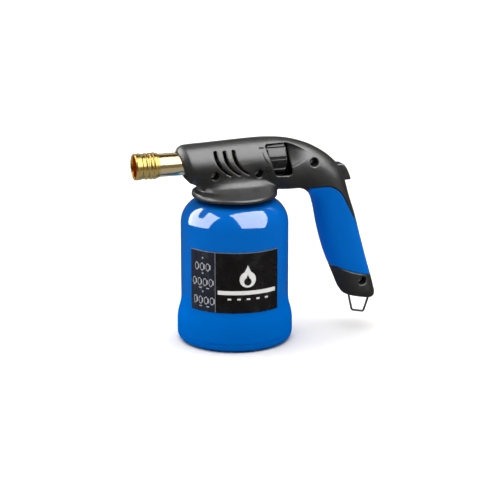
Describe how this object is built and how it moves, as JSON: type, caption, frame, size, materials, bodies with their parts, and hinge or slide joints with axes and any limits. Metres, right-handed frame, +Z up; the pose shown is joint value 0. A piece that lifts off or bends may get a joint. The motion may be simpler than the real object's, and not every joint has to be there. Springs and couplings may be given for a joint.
{
  "type": "gas torch",
  "caption": "Hand-held gas torch: brass burner tube in a moulded pistol housing, on a blue metal canister that holds a pierceable cartridge, with gas knob and push-button ignition.",
  "frame": {"origin": "centre of the round foot, on the surface that the torch stands on", "axes": "+Z up, the burner points along -X, the handle is at +X and the housing splits on the plane Y = 0"},
  "size_m": [0.2159, 0.0988, 0.1744],
  "materials": {
    "canister_paint": "glossy baked enamel",
    "base_paint": "glossy baked enamel",
    "insert_plastic": "matt",
    "cartridge_steel": "satin tinplate",
    "label_print": "printed film, semi-gloss",
    "valve_brass": "machined",
    "tube_brass": "polished",
    "nozzle_brass": "polished, turned",
    "fastener_steel": "zinc plated",
    "needle_steel": "ground",
    "seal_rubber": "matt",
    "ceramic": "glazed ceramic",
    "lead_insulation": "smooth silicone",
    "knob_plastic": "satin moulded",
    "housing_plastic": "satin moulded, fine texture",
    "grip_rubber": "soft-touch moulded",
    "button_plastic": "satin moulded",
    "piezo_plastic": "matt",
    "bail_wire": "drawn spring wire"
  },
  "bodies": {
    "torch": {"canister_shell": "canister_paint", "label": "label_print", "valve_body": "valve_brass", "clamp_nut": "fastener_steel", "piercing_needle": "needle_steel", "needle_seal": "seal_rubber", "jet_pipe": "valve_brass", "gas_jet": "valve_brass", "air_mixer": "valve_brass", "burner_tube": "tube_brass", "burner_nozzle": "nozzle_brass", "flame_disc": "nozzle_brass", "electrode_insulator": "ceramic", "spark_electrode": "needle_steel", "ignition_cable": "lead_insulation", "gland_nut": "valve_brass", "stem_o_ring": "seal_rubber", "shell_left": "housing_plastic", "shell_right": "housing_plastic", "grip_left": "grip_rubber", "grip_right": "grip_rubber", "piezo_unit": "piezo_plastic", "housing_screw_1": "fastener_steel", "housing_screw_2": "fastener_steel", "housing_screw_3": "fastener_steel", "housing_screw_4": "fastener_steel"},
    "knob": {"gas_knob": "knob_plastic", "valve_stem": "needle_steel"},
    "button": {"ignition_button": "button_plastic", "piezo_plunger": "piezo_plastic"},
    "bail": {"hang_bail": "bail_wire"},
    "cartridge": {"gas_cartridge": "cartridge_steel"},
    "base": {"base_cup": "base_paint", "base_insert": "insert_plastic"}
  },
  "joints": [
    {"name": "knob_turn", "type": "hinge", "parent": "torch", "child": "knob", "pos_m": [0.0327, 0, 0.156], "axis": [1, 0, 0], "range_deg": [0, 270]},
    {"name": "button_press", "type": "slide", "parent": "torch", "child": "button", "axis": [-1, 0, 0], "range_m": [0, 0.005], "stiffness_N_per_m": 2000, "springref_m": -0.001},
    {"name": "bail_swing", "type": "hinge", "parent": "torch", "child": "bail", "pos_m": [0.11448, 0, 0.0283], "axis": [0.9781, 0, -0.2079], "range_deg": [-50, 50]},
    {"name": "base_drop", "type": "slide", "parent": "torch", "child": "cartridge", "axis": [0, 0, -1], "range_m": [0, 0.0089]},
    {"name": "base_turn", "type": "hinge", "parent": "cartridge", "child": "base", "pos_m": [0, 0, 0], "axis": [0, 0, -1], "range_deg": [0, 396]}
  ],
  "couplings": [
    {"joint": "base_drop", "follows": "base_turn", "m_per_rad": 0.0012732}
  ]
}
